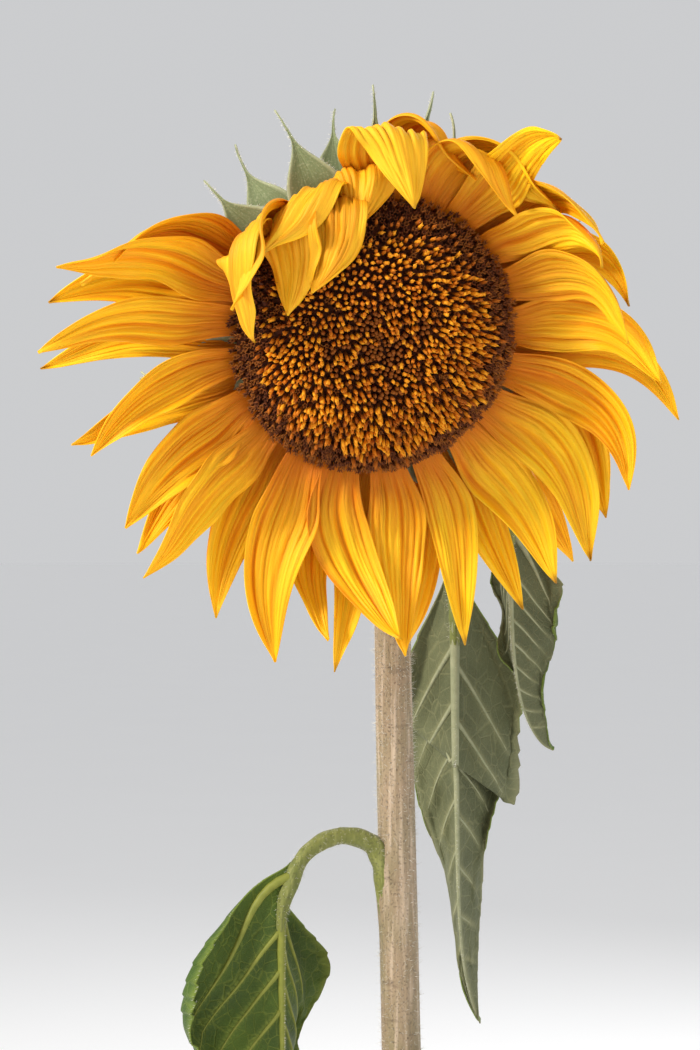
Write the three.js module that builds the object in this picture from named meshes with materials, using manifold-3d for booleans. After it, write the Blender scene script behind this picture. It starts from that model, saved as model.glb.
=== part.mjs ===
// A sunflower plant late in its season: one upright hairy stem, a neck that nods forward, one heavy
// flower head with limp golden rays, and large leaves that hang from arched stalks.
//
// Millimetres, +Z up. The origin is the centre of the flat cut under the stem, at ground level.
// The flower faces -Y, towards whoever looks at it, and a little down and to +X.

import * as THREE from "three";
import Module from "manifold-3d";

const wasm = await Module();
wasm.setup();

// ---------------------------------------------------------------- driving dimensions

const CLEAR = 0.35; // the gap that neighbouring solids keep

const STEM = {
  height: 656, // from the ground to where the neck starts to bend
  footRadius: 15.5, // at the root flare
  baseRadius: 11.2, // just above the flare
  topRadius: 8.6,
  flareHeight: 34,
  lean: 1.2, // degrees, towards -X
  sides: 16,
};

const HEAD = {
  centre: [-22, -95, 700], // middle of the disc's rim
  face: [0.17, -0.92, -0.36], // the way the flower looks
  discRadius: 64,
  discHeight: 27, // of the dome of florets above the rim
  dip: 4, // how far the middle of the dome sinks
  backDepth: 36, // from the rim back to where the neck enters
  rimRadius: 60,
  sides: 26,
};

const NECK = {
  startRadius: 8.6,
  endRadius: 11,
  reachUp: 64, // how far the bend leans on the stem's own direction
  reachBack: 46, // and on the head's
  steps: 9,
};

// Rays stand in two rings. Each ring is a little behind the one before it.
const RAYS = {
  perRing: 21,
  rings: 2,
  length: 94,
  width: 26.5,
  rootRadius: 60.5,
  rootDepth: 3.2,
  ringStep: 4.2,
  ringDrop: 13, // degrees that the back ring leans back
  thickness: 1,
  steps: 6,
  columns: 2,
};

// How rays hang, by place on the clock face (degrees clockwise from 12, seen from the front):
// lift towards the viewer, the share of the length where the blade gives way, how sharply it does,
// how far it turns to the ground, its twist, its length against the usual, how far its tip sweeps
// round clockwise, and its breadth against the usual.
const RAY_HABIT = [
  [0, 2, 0.62, 0.16, 150, 6, 0.86, 0, 1.4],
  [9, 8, 0.42, 0.22, 128, 10, 0.74, 8, 1.25],
  [18, 8, 0.5, 0.24, 118, 12, 0.78, 8, 1.25],
  [27, 12, 0.52, 0.26, 96, 14, 0.8, 8, 1.15],
  [34, 20, 0.6, 0.3, 26, 10, 0.92, -6, 1],
  [43, 28, 0.56, 0.3, 60, 20, 0.84, 8, 1.05],
  [60, 30, 0.6, 0.3, 66, 8, 0.84, 2, 1],
  [84, 22, 0.64, 0.26, 72, -6, 0.82, 0, 1],
  [106, 12, 0.6, 0.3, 52, -10, 1.1, 0, 1.05],
  [122, 8, 0.5, 0.4, 32, -6, 0.98, 0, 1.05],
  [150, 12, 0.4, 0.4, 24, 0, 0.96, 0, 1.05],
  [180, 14, 0.4, 0.4, 30, 0, 1, 0, 1.05],
  [212, 12, 0.4, 0.4, 26, 6, 1.04, 0, 1.05],
  [228, 14, 0.5, 0.4, 22, 12, 0.92, 4, 1],
  [240, 14, 0.5, 0.4, 16, 16, 0.88, 8, 1],
  [258, 14, 0.52, 0.35, 32, 18, 0.9, 3, 1],
  [280, 6, 0.58, 0.35, 26, 4, 0.96, 0, 1],
  [297, 8, 0.5, 0.25, 48, -20, 0.96, 0, 1.05],
  [305, 42, 0.4, 0.2, 92, -20, 0.84, -24, 1.45],
  [315, 52, 0.38, 0.2, 90, -12, 0.72, 10, 1.3],
  [324, 58, 0.36, 0.2, 90, -8, 0.58, -4, 1.35],
  [342, 54, 0.36, 0.2, 94, 0, 0.58, -15, 1.3],
  [351, 44, 0.36, 0.24, 112, 4, 0.46, 0, 1.35],
];

const BRACTS = {
  perRing: 14,
  rings: 2,
  length: 54,
  width: 23,
  rootRadius: 56,
  rootDepth: 8.5,
  ringStep: 5.5,
  lift: -10,
  ringDrop: 13,
  thickness: 1.2,
  steps: 4,
  columns: 2,
};

// Each leaf: how high its stalk leaves the stem and its bearing there (clockwise from the viewer's
// side, seen from above), the angle at which it rises, how far below level its stalk droops, the
// radius of its arch, the blade's length and width, the fold of each half towards the other and how
// much tighter it furls lower down, its roll about the line it hangs along, its twist down its
// length and the curl of its tip.
const LEAVES = [
  { name: "upper_right", height: 632, bearing: -97, rise: 62, droop: 98, arch: 29,
    length: 126, width: 60, fold: 54, furl: 10, roll: -58, twist: 14, curl: 75 },
  { name: "long_right", height: 616, bearing: -146, rise: 60, droop: 98, arch: 29,
    length: 264, width: 92, fold: 42, furl: 26, roll: -40, twist: 24, curl: 60 },
  { name: "left", height: 452, bearing: 68, rise: 60, droop: 66, arch: 27,
    length: 206, width: 114, fold: 36, furl: 0, roll: 58, twist: 22, curl: 0 },
  { name: "lower_front_right", height: 342, bearing: -50, rise: 58, droop: 98, arch: 31,
    length: 170, width: 118, fold: 40, furl: 14, roll: 20, twist: 20, curl: 46 },
  { name: "lower_back", height: 272, bearing: 172, rise: 56, droop: 98, arch: 32,
    length: 150, width: 106, fold: 44, furl: 10, roll: -30, twist: 30, curl: 40 },
  { name: "lower_front_left", height: 200, bearing: 36, rise: 58, droop: 98, arch: 28,
    length: 116, width: 82, fold: 42, furl: 10, roll: -20, twist: -20, curl: 40 },
  { name: "lowest_right", height: 134, bearing: -108, rise: 54, droop: 98, arch: 25,
    length: 80, width: 56, fold: 34, furl: 10, roll: 30, twist: 20, curl: 30 },
];

const LEAF = {
  hang: 98, // degrees below level that every blade ends up hanging at
  stalkRoot: 5.2,
  stalkTip: 3.3,
  lobe: 0.03, // how far the base's lobes reach back past the stalk, against the width
  thicknessShare: 0.0108, // of the blade's length
  steps: 9,
  columns: 6,
};

const RAY_SECTORS = 12;
const BRACT_SECTORS = 6;

const COLOURS = {
  stem: [0x8f9468, 0.75],
  neck: [0x8a9660, 0.75],
  head: [0x6f8445, 0.8],
  disc: [0x4a2410, 0.95],
  ray: [0xf2a516, 0.55],
  bract: [0x76875a, 0.75],
  stalk: [0x76803f, 0.7],
  leaf: [0x4f6236, 0.8],
};

// ---------------------------------------------------------------- small tools

const UP = new THREE.Vector3(0, 0, 1);
const DOWN = new THREE.Vector3(0, 0, -1);

const radians = THREE.MathUtils.degToRad;
const smooth = (x) => THREE.MathUtils.smoothstep(x, 0, 1);

// Repeatable random numbers from 0 to 1, the same wherever the rule is written out.
function seeded(seed) {
  let state = seed;
  return () => {
    state = (state * 1664525 + 1013904223) % 4294967296;
    return state / 4294967296;
  };
}

// The way from the stem's line at a bearing, clockwise from the viewer's side seen from above.
function bearingWay(degrees) {
  const a = radians(degrees);
  return new THREE.Vector3(-Math.sin(a), -Math.cos(a), 0);
}

// A manifold from rows of points that close round a shape, each row a ring of the same length.
function ringSolid(rings) {
  const sides = rings[0].length;
  const points = rings.flat();
  const triangles = [];
  for (let i = 0; i + 1 < rings.length; i++)
    for (let j = 0; j < sides; j++) {
      const a = i * sides + j;
      const b = i * sides + ((j + 1) % sides);
      triangles.push(a, b, b + sides, a, b + sides, a + sides);
    }
  const last = (rings.length - 1) * sides;
  for (let j = 1; j + 1 < sides; j++) {
    triangles.push(0, j + 1, j);
    triangles.push(last, last + j, last + j + 1);
  }
  return manifoldOf(points, triangles);
}

function manifoldOf(points, triangles) {
  const made = new wasm.Manifold(
    new wasm.Mesh({
      numProp: 3,
      vertProperties: new Float32Array(points.flatMap((p) => [p.x, p.y, p.z])),
      triVerts: new Uint32Array(triangles),
    }),
  );
  if (made.volume() >= 0) return made;
  const turned = [];
  for (let i = 0; i < triangles.length; i += 3)
    turned.push(triangles[i], triangles[i + 2], triangles[i + 1]);
  return manifoldOf(points, turned);
}

// A round limb along points, with a radius at each.
function limb(points, radii, sides) {
  let across = new THREE.Vector3(1, 0, 0);
  const rings = points.map((p, i) => {
    const before = points[Math.max(0, i - 1)];
    const after = points[Math.min(points.length - 1, i + 1)];
    const along = after.clone().sub(before).normalize();
    across.addScaledVector(along, -across.dot(along)).normalize();
    const other = along.clone().cross(across);
    return Array.from({ length: sides }, (_, j) => {
      const a = (2 * Math.PI * j) / sides;
      return p
        .clone()
        .addScaledVector(across, radii[i] * Math.cos(a))
        .addScaledVector(other, radii[i] * Math.sin(a));
    });
  });
  return ringSolid(rings);
}

// A closed blade from a grid of surface points and the way its upper face looks.
function bladeSolid(grid, faces, half) {
  const rings = grid.map((row, i) => {
    const upper = row.map((p) => p.clone().addScaledVector(faces[i], half));
    const lower = row.map((p) => p.clone().addScaledVector(faces[i], -half));
    return [...upper, ...lower.reverse()];
  });
  return stripSolid(rings);
}

// Like ringSolid, with flat ends that are quads between the blade's two faces.
function stripSolid(rings) {
  const sides = rings[0].length;
  const width = sides / 2;
  const points = rings.flat();
  const triangles = [];
  for (let i = 0; i + 1 < rings.length; i++)
    for (let j = 0; j < sides; j++) {
      const a = i * sides + j;
      const b = i * sides + ((j + 1) % sides);
      triangles.push(a, b, b + sides, a, b + sides, a + sides);
    }
  const last = (rings.length - 1) * sides;
  for (let j = 0; j + 1 < width; j++) {
    const k = sides - 1 - j;
    triangles.push(j, k, j + 1, j + 1, k, k - 1);
    triangles.push(last + j, last + j + 1, last + k, last + j + 1, last + k - 1, last + k);
  }
  return manifoldOf(points, triangles);
}

// ---------------------------------------------------------------- limp blades

// The line of a blade that starts along `start` and gives way to its own weight. Gives points, the
// way along, across and the way the upper face looks, at each of steps + 1 stations.
function limpLine(form, steps) {
  const { root, start, across, length, give, softness, bend, twist, curl } = form;
  const fall = start.clone().cross(DOWN);
  const axis = fall.lengthSq() > 1e-6 ? fall.normalize() : across.clone();
  const wayAt = (s) => {
    const turn = radians(bend) * smooth((s - give + softness) / (2 * softness));
    const along = start.clone().applyAxisAngle(axis, turn);
    const side = across.clone().applyAxisAngle(axis, turn);
    side.applyAxisAngle(along, radians(twist) * s);
    along.applyAxisAngle(side, radians(curl) * s * s * s);
    return { along, across: side, face: side.clone().cross(along).normalize() };
  };
  const stations = [];
  const point = root.clone();
  for (let i = 0; i <= steps; i++) {
    if (i > 0) point.addScaledVector(wayAt((i - 0.5) / steps).along, length / steps);
    stations.push({ s: i / steps, point: point.clone(), ...wayAt(i / steps) });
  }
  return stations;
}

// The surface points of a blade, from how far each lies to the side of its line at s and u, how far
// it stands off, and how far it is set back along the line.
function bladeGrid(stations, columns, side, stand, back = () => 0) {
  return stations.map(({ s, point, along, across, face }) =>
    Array.from({ length: columns + 1 }, (_, j) => {
      const u = (2 * j) / columns - 1;
      return point
        .clone()
        .addScaledVector(across, side(s, u))
        .addScaledVector(face, stand(s, u))
        .addScaledVector(along, -back(s, u));
    }),
  );
}

// ---------------------------------------------------------------- the head's own frame

const face = new THREE.Vector3(...HEAD.face).normalize();
const headCentre = new THREE.Vector3(...HEAD.centre);
const headUp = UP.clone().addScaledVector(face, -UP.dot(face)).normalize();
const headRight = headUp.clone().cross(face);

// The way out from the head's middle at a place on the clock face, and the way round.
function clockWay(degrees) {
  const a = radians(degrees);
  return {
    out: headUp.clone().multiplyScalar(Math.cos(a)).addScaledVector(headRight, Math.sin(a)),
    round: headUp.clone().multiplyScalar(-Math.sin(a)).addScaledVector(headRight, Math.cos(a)),
  };
}

// A point of the head from its radius, clock place and height in front of the rim.
function headPoint(radius, degrees, height) {
  return headCentre
    .clone()
    .addScaledVector(clockWay(degrees).out, radius)
    .addScaledVector(face, height);
}

// A body of revolution about the head's axis, from a profile of [radius, height] that ends at
// both ends in a flat.
function headTurned(profile, sides, grow = 0) {
  const first = profile[0][1] < profile.at(-1)[1] ? -grow : grow;
  const rings = profile.map(([radius, height], i) => {
    const end = i === 0 ? first : i === profile.length - 1 ? -first : 0;
    return Array.from({ length: sides }, (_, j) =>
      headPoint(radius + grow, (360 * j) / sides, height + end),
    );
  });
  return ringSolid(rings);
}

// ---------------------------------------------------------------- stem and neck

function stemPoint(height) {
  return new THREE.Vector3(-Math.tan(radians(STEM.lean)) * height, 0, height);
}

function stemRadius(height) {
  const taper = THREE.MathUtils.lerp(STEM.baseRadius, STEM.topRadius, height / STEM.height);
  const flare = Math.max(0, 1 - height / STEM.flareHeight);
  return taper + (STEM.footRadius - STEM.baseRadius) * flare * flare;
}

function stemSolid(grow = 0) {
  const flareSteps = [0, 0.3, 0.62, 1].map((f) => f * STEM.flareHeight);
  const shaftSteps = Array.from({ length: 8 }, (_, i) =>
    THREE.MathUtils.lerp(STEM.flareHeight, STEM.height, (i + 1) / 8),
  );
  const heights = [...flareSteps, ...shaftSteps];
  const rings = heights.map((height, i) => {
    const middle = stemPoint(height);
    const end = i === heights.length - 1 ? grow : 0;
    return Array.from({ length: STEM.sides }, (_, j) => {
      const a = (2 * Math.PI * j) / STEM.sides;
      const r = stemRadius(height) + grow;
      return new THREE.Vector3(middle.x + r * Math.cos(a), middle.y + r * Math.sin(a), height + end);
    });
  });
  return ringSolid(rings);
}

function neckCurve() {
  const from = stemPoint(STEM.height);
  const up = stemPoint(1).sub(stemPoint(0)).normalize();
  from.addScaledVector(up, CLEAR);
  const to = headCentre.clone().addScaledVector(face, -HEAD.backDepth - CLEAR);
  return new THREE.CubicBezierCurve3(
    from,
    from.clone().addScaledVector(up, NECK.reachUp),
    to.clone().addScaledVector(face, -NECK.reachBack),
    to,
  );
}

function neckSolid() {
  const points = neckCurve().getPoints(NECK.steps);
  const radii = points.map((_, i) =>
    THREE.MathUtils.lerp(NECK.startRadius, NECK.endRadius, smooth((i / NECK.steps - 0.4) / 0.6)),
  );
  return limb(points, radii, 12).subtract(stemSolid(CLEAR)).subtract(receptacleSolid(CLEAR));
}

// ---------------------------------------------------------------- receptacle and disc

function receptacleProfile() {
  const { rimRadius, backDepth } = HEAD;
  return [
    [NECK.endRadius + 2, -backDepth],
    [rimRadius * 0.42, -backDepth * 0.86],
    [rimRadius * 0.74, -backDepth * 0.6],
    [rimRadius * 0.94, -backDepth * 0.3],
    [rimRadius * 0.985, -backDepth * 0.08],
    [rimRadius * 0.97, -1],
  ];
}

function receptacleSolid(grow = 0) {
  return headTurned(receptacleProfile(), HEAD.sides, grow);
}

// Height of the dome of florets above the rim, at a share of its radius.
function domeHeight(share) {
  const dome = Math.pow(1 - Math.pow(share, 2.6), 0.62);
  const middle = Math.exp(-Math.pow(share / 0.34, 2));
  return HEAD.discHeight * dome - HEAD.dip * middle;
}

function discSolid(grow = 0) {
  const foot = -1 + CLEAR;
  const shares = [0.995, 0.96, 0.88, 0.74, 0.56, 0.36, 0.18];
  const profile = [
    [HEAD.discRadius * 0.93, foot],
    ...shares.map((share) => [HEAD.discRadius * share, Math.max(domeHeight(share), foot + 2)]),
    [1.2, domeHeight(0)],
  ];
  return headTurned(profile, HEAD.sides, grow);
}

// ---------------------------------------------------------------- rays and bracts

// Every column of the habit at a clock place, blended between its neighbours.
function habitAt(degrees) {
  const rows = [...RAY_HABIT, [RAY_HABIT[0][0] + 360, ...RAY_HABIT[0].slice(1)]];
  const i = rows.findIndex((row, k) => degrees < rows[k + 1][0]);
  const [low, high] = [rows[i], rows[i + 1]];
  const t = (degrees - low[0]) / (high[0] - low[0]);
  return low.slice(1).map((v, k) => THREE.MathUtils.lerp(v, high[k + 1], t));
}

function rayForms() {
  const random = seeded(7);
  const forms = [];
  for (let ring = 0; ring < RAYS.rings; ring++)
    for (let k = 0; k < RAYS.perRing; k++) {
      const vary = (amount) => (random() * 2 - 1) * amount;
      const clock = ((k + ring / 2) * 360) / RAYS.perRing + vary(2);
      const place = (clock + 360) % 360;
      const [lift, give, softness, bend, twist, reach, sweep, breadth] = habitAt(place);
      const { out, round } = clockWay(place);
      const lean = radians(lift - ring * RAYS.ringDrop + vary(5));
      const start = out.clone().multiplyScalar(Math.cos(lean)).addScaledVector(face, Math.sin(lean));
      forms.push({
        clock: place,
        ring,
        root: headPoint(RAYS.rootRadius, place, -RAYS.rootDepth - ring * RAYS.ringStep),
        start,
        across: round,
        length: RAYS.length * reach * (1 + vary(0.07)),
        width: RAYS.width * breadth * (1 + vary(0.18)),
        give: give + vary(0.08),
        softness,
        bend: bend * (1 + vary(0.18)),
        twist: twist + vary(28),
        curl: 10 + vary(44),
        cup: 0.2 + vary(0.16),
        sweep: sweep + vary(11),
      });
    }
  return forms;
}

// Half the width of a ray at a share of its length: a narrow claw, a broad middle, a drawn point.
function rayHalfWidth(form, s) {
  const claw = 0.54 + 0.46 * smooth(s / 0.38);
  const point = Math.pow(Math.max(0, 1 - Math.pow(s, 2.4)), 0.92);
  return (form.width / 2) * Math.max(claw * point, 0.02);
}

function raySolid(form, grow = 0) {
  const stations = limpLine(form, RAYS.steps);
  const side = (s, u) => u * (rayHalfWidth(form, s) + grow) + form.sweep * s * s;
  const stand = (s, u) => form.cup * rayHalfWidth(form, s) * (u * u - 0.4);
  const grid = bladeGrid(stations, RAYS.columns, side, stand);
  return bladeSolid(grid, stations.map((t) => t.face), RAYS.thickness / 2 + grow);
}

function bractForms() {
  const random = seeded(23);
  const forms = [];
  for (let ring = 0; ring < BRACTS.rings; ring++)
    for (let k = 0; k < BRACTS.perRing; k++) {
      const vary = (amount) => (random() * 2 - 1) * amount;
      const clock = (((k + ring / 2) * 360) / BRACTS.perRing + vary(4) + 360) % 360;
      const { out, round } = clockWay(clock);
      const lean = radians(BRACTS.lift - ring * BRACTS.ringDrop + vary(7));
      forms.push({
        clock,
        ring,
        root: headPoint(BRACTS.rootRadius, clock, -BRACTS.rootDepth - ring * BRACTS.ringStep),
        start: out.clone().multiplyScalar(Math.cos(lean)).addScaledVector(face, Math.sin(lean)),
        across: round,
        length: BRACTS.length * (1 + vary(0.14)),
        width: BRACTS.width * (1 + vary(0.1)),
        give: 0.6,
        softness: 0.4,
        bend: vary(14),
        twist: vary(26),
        curl: -24 + vary(30),
        cup: 0.3,
        hook: vary(9),
      });
    }
  return forms;
}

// Half the width of a bract: broad near its foot, then drawn out into a long tail.
function bractHalfWidth(form, s) {
  const body = (0.6 + 2.0 * s) * Math.pow(1 - smooth((s - 0.12) / 0.62), 1.1);
  const tail = 0.17 * Math.pow(1 - s, 0.8);
  return (form.width / 2) * Math.max(body + tail, 0.03);
}

function bractSolid(form, grow = 0) {
  const stations = limpLine(form, BRACTS.steps);
  const side = (s, u) => u * (bractHalfWidth(form, s) + grow) + form.hook * s * s * s;
  const stand = (s, u) => form.cup * bractHalfWidth(form, s) * u * u;
  const grid = bladeGrid(stations, BRACTS.columns, side, stand);
  return bladeSolid(grid, stations.map((t) => t.face), BRACTS.thickness / 2 + grow);
}

// A band round the head that a sector's blades are rooted in.
function rootBand(fromDegrees, toDegrees, inner, outer, low, high, grow = 0) {
  const steps = 5;
  const rings = Array.from({ length: steps + 1 }, (_, i) => {
    const a = THREE.MathUtils.lerp(fromDegrees, toDegrees, i / steps);
    const corner = (r, h) => headPoint(r, a, h);
    return [
      corner(inner - grow, low - grow),
      corner(outer + grow, low - grow),
      corner(outer + grow, high + grow),
      corner(inner - grow, high + grow),
    ];
  });
  return ringSolid(rings);
}

// ---------------------------------------------------------------- leaves

function stalkLine(leaf, way, steps) {
  const turn = radians(leaf.rise + leaf.droop);
  const root = stemPoint(leaf.height).addScaledVector(way, stemRadius(leaf.height) * 0.55);
  const points = [root];
  for (let i = 1; i <= steps; i++) {
    const a = radians(leaf.rise) - (turn * (i - 0.5)) / steps;
    const next = points[i - 1].clone();
    next.addScaledVector(way, (Math.cos(a) * leaf.arch * turn) / steps);
    next.addScaledVector(UP, (Math.sin(a) * leaf.arch * turn) / steps);
    points.push(next);
  }
  return points;
}

function leafForms() {
  return LEAVES.map((leaf) => {
    const way = bearingWay(leaf.bearing);
    const stalk = stalkLine(leaf, way, 9);
    const tip = stalk.at(-1);
    const start = tip.clone().sub(stalk.at(-2)).normalize();
    const across = way.clone().cross(UP).normalize();
    across.applyAxisAngle(start, radians(leaf.roll));
    return {
      ...leaf,
      stalk,
      root: tip.clone().addScaledVector(start, CLEAR),
      start,
      across,
      give: 0.07,
      softness: 0.07,
      bend: LEAF.hang - leaf.droop,
    };
  });
}

// Half the width of a leaf along its blade: winged down the stalk, then heart-shaped, drawn out at
// the tip.
function leafHalfWidth(leaf, s) {
  const swell = 0.05 + 0.95 * smooth(s / 0.28 + 0.02);
  const taper = 1.36 * Math.pow(Math.max(0, 1 - s), 0.86);
  return (leaf.width / 2) * Math.max(swell * taper, 0.03);
}

// The blade folds along its midrib, so that its halves hang like a half-closed book.
function leafSolid(leaf, grow = 0) {
  const stations = limpLine(leaf, LEAF.steps);
  const fold = (s) => radians(leaf.fold + leaf.furl * smooth((s - 0.35) / 0.35));
  const side = (s, u) => u * (leafHalfWidth(leaf, s) + grow) * Math.cos(fold(s));
  const stand = (s, u) => {
    const wave = 0.16 * Math.sin(5.5 * Math.PI * s + (u > 0 ? 0 : 1.7)) * u * u;
    return leafHalfWidth(leaf, s) * (Math.abs(u) * Math.sin(fold(s)) + wave);
  };
  const back = (s, u) => LEAF.lobe * leaf.width * u * u * Math.pow(1 - s, 4);
  const grid = bladeGrid(stations, LEAF.columns, side, stand, back);
  const thick = leaf.length * LEAF.thicknessShare;
  const slant = Math.cos(radians(leaf.fold));
  return bladeSolid(grid, stations.map((t) => t.face), thick / 2 / slant + grow);
}

function stalkSolid(leaf, grow = 0) {
  const radii = leaf.stalk.map(
    (_, i) => THREE.MathUtils.lerp(LEAF.stalkRoot, LEAF.stalkTip, Math.pow(i / 9, 0.6)) + grow,
  );
  return limb(leaf.stalk, radii, 8).subtract(stemSolid(CLEAR));
}

// ---------------------------------------------------------------- the plant

const plant = new THREE.Group();
const taken = []; // what later solids keep clear of, each a little grown

// The largest single body of a solid, with loose scraps and needless triangles dropped.
function largest(solid) {
  const bodies = solid.simplify(0.22).decompose();
  return bodies.sort((a, b) => b.volume() - a.volume())[0];
}

function addNode(name, solid, [colour, roughness]) {
  const mesh = solid.getMesh();
  const geometry = new THREE.BufferGeometry();
  geometry.setAttribute("position", new THREE.BufferAttribute(mesh.vertProperties, 3));
  geometry.setIndex(new THREE.BufferAttribute(mesh.triVerts, 1));
  geometry.computeVertexNormals();
  const material = new THREE.MeshStandardMaterial({ color: colour, roughness, metalness: 0 });
  const node = new THREE.Mesh(geometry, material);
  node.name = name;
  plant.add(node);
}

function clearOf(solid, others) {
  return others.reduce((rest, other) => rest.subtract(other), solid);
}

// Blades of one clock sector, joined by the band they are rooted in.
function addSectors(label, count, forms, solidOf, band, colour) {
  for (let k = 0; k < count; k++) {
    const width = 360 / count;
    const [from, to] = [(k - 0.5) * width, (k + 0.5) * width];
    const members = forms.filter((f) => (f.clock + width / 2) % 360 >= k * width)
      .filter((f) => (f.clock + width / 2) % 360 < (k + 1) * width);
    const gap = 0.4;
    const join = (grow) =>
      members.reduce((all, f) => all.add(solidOf(f, grow)), band(from + gap, to - gap, grow));
    const solid = largest(clearOf(join(0), taken));
    addNode(`${label}_${String(k === 0 ? count : k).padStart(2, "0")}`, solid, colour);
    taken.push(join(CLEAR));
  }
}

addNode("stem", stemSolid(), COLOURS.stem);
addNode("neck", neckSolid(), COLOURS.neck);
addNode("receptacle", receptacleSolid(), COLOURS.head);
addNode("floret_disc", discSolid(), COLOURS.disc);
taken.push(receptacleSolid(CLEAR), discSolid(CLEAR));

const rayBand = (from, to, grow) => rootBand(from, to, 60.5, 63.2, -9.2, -2.4, grow);
const bractBand = (from, to, grow) => rootBand(from, to, 52, 59.4, -17, -7.6, grow);

addSectors("rays", RAY_SECTORS, rayForms(), raySolid, rayBand, COLOURS.ray);
addSectors("bracts", BRACT_SECTORS, bractForms(), bractSolid, bractBand, COLOURS.bract);

for (const leaf of leafForms()) {
  addNode(`stalk_${leaf.name}`, largest(stalkSolid(leaf)), COLOURS.stalk);
  taken.push(stalkSolid(leaf, CLEAR));
  addNode(`leaf_${leaf.name}`, largest(clearOf(leafSolid(leaf), taken)), COLOURS.leaf);
  taken.push(leafSolid(leaf, CLEAR));
}

export default plant;
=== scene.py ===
"""Looks of a sunflower plant late in its season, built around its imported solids.

The rules that place and bend the rays, bracts, stalks and leaves are those of the solids, carried
here to fine meshes with pleats, ribs, teeth and hairs. Shapes are worked out in millimetres and
stored in metres. The flower faces -Y; +Z is up.
"""

import random
from functools import partialmethod
from math import cos, exp, floor, pi, radians, sin, sqrt, tan
from types import SimpleNamespace

import bmesh
import bpy
import numpy as np
from mathutils import Matrix, Quaternion, Vector, noise


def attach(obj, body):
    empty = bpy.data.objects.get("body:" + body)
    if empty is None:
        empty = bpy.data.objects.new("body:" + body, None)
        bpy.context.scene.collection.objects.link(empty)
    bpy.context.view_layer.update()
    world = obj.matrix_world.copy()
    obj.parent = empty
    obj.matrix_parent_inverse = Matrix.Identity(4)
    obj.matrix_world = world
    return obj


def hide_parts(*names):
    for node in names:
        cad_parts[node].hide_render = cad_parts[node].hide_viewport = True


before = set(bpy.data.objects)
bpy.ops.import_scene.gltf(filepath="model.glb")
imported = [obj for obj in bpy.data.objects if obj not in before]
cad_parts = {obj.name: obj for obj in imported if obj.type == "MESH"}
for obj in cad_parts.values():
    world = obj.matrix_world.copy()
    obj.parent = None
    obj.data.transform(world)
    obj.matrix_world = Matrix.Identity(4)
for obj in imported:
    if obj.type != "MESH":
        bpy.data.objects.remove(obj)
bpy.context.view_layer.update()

MM = 0.001
UP = Vector((0, 0, 1))
DOWN = Vector((0, 0, -1))


def in_scene(name, data):
    made = bpy.data.objects.new(name, data)
    bpy.context.scene.collection.objects.link(made)
    return made


# ------------------------------------------------------------------ camera

camera = in_scene("camera", bpy.data.cameras.new("camera"))
camera.data.lens = 88
camera.data.sensor_width = 36
camera.data.clip_end = 50
camera.location = (-0.0324, -1.245, 0.615)
camera.rotation_euler = (pi / 2, 0, 0)
bpy.context.scene.camera = camera
bpy.context.scene.view_settings.view_transform = "Standard"

# ------------------------------------------------------------------ sizes, in millimetres

# The gap between two solids that meet.
CLEAR = 0.35

STEM = SimpleNamespace(
    height=656, foot_radius=15.5, base_radius=11.2, top_radius=8.6, flare_height=34, lean=1.2
)
HEAD = SimpleNamespace(
    centre=(-22, -95, 700),
    face=(0.17, -0.92, -0.36),
    disc_radius=64,
    disc_height=27,
    dip=4,
    back_depth=36,
    rim_radius=60,
)
NECK = SimpleNamespace(start_radius=8.6, end_radius=11, reach_up=64, reach_back=46)
RAYS = SimpleNamespace(
    per_ring=21,
    rings=2,
    length=94,
    width=26.5,
    root_radius=60.5,
    root_depth=3.2,
    ring_step=4.2,
    ring_drop=13,
    rows=44,
    columns=42,
    thickness=0.45,
)
BRACTS = SimpleNamespace(
    per_ring=14,
    rings=2,
    length=54,
    width=23,
    root_radius=56,
    root_depth=8.5,
    ring_step=5.5,
    lift=-10,
    ring_drop=13,
    rows=40,
    columns=14,
    thickness=0.9,
)
LEAF = SimpleNamespace(
    usual_length=170,
    hang=98,
    stalk_root=5.2,
    stalk_tip=3.3,
    lobe=0.03,
    rows=150,
    columns=60,
    thickness=0.7,
)

FLORETS = SimpleNamespace(
    count=2300, spread=60.6, foot_depth=6.6, bed_radius=62.4, bed_depth=5.5, bed_rings=14
)
BRISTLES = SimpleNamespace(stem=11000, neck=2000, stalk=520, leaf_margin=420, midrib=260, bract=150)

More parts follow.
